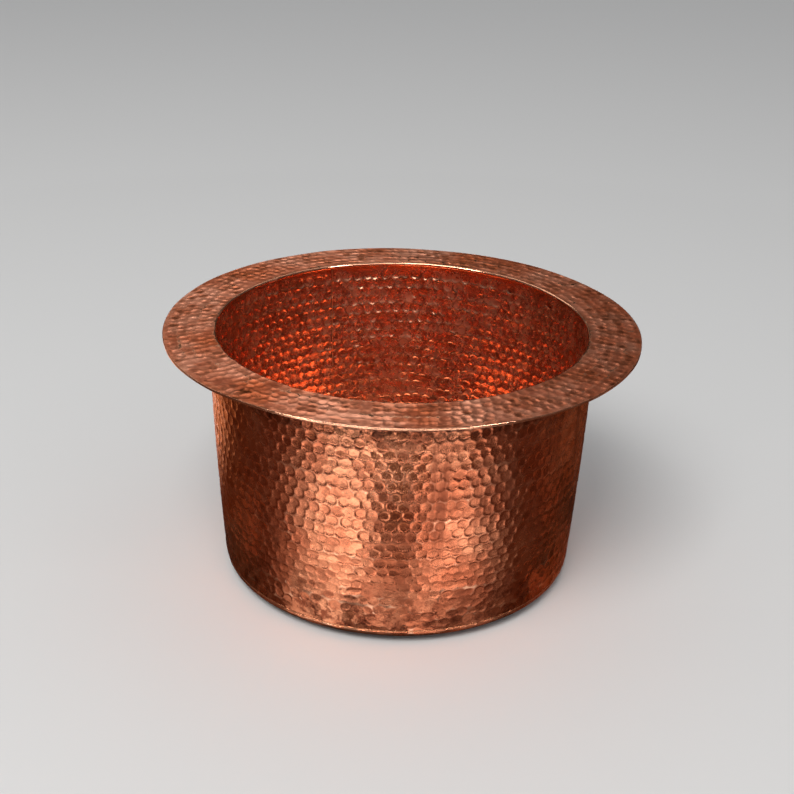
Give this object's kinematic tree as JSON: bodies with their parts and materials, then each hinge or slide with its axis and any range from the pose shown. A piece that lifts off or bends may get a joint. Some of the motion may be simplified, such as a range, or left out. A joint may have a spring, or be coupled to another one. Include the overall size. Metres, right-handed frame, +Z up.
{
  "type": "round hammered copper basin",
  "caption": "Open round basin with a wide flat rim, a slightly tapered hammered wall and a floor that falls to a round drain opening.",
  "frame": {"origin": "centre of the plane that the basin stands on, which is the underside of the drain seat", "axes": "+Z up along the basin's axis, from the drain to the open rim; the wall's seam lies at 115 degrees from +X towards +Y"},
  "size_m": [0.4064, 0.4064, 0.221],
  "materials": {
    "copper_rim": "hammered copper, matte pinkish brown with dark mottled patina",
    "copper_wall": "hammered copper, satin to bright, dimpled in rows, brown patina in the hollows",
    "copper_floor": "hammered copper, satin, dimpled in rings",
    "braze": "copper-phosphorus filler, dressed smooth, satin"
  },
  "bodies": {
    "root": {"rim_flange": "copper_rim", "side_wall": "copper_wall", "floor_pan": "copper_floor", "wall_seam_braze": "braze", "rim_braze": "braze", "floor_braze": "braze"}
  },
  "joints": []
}
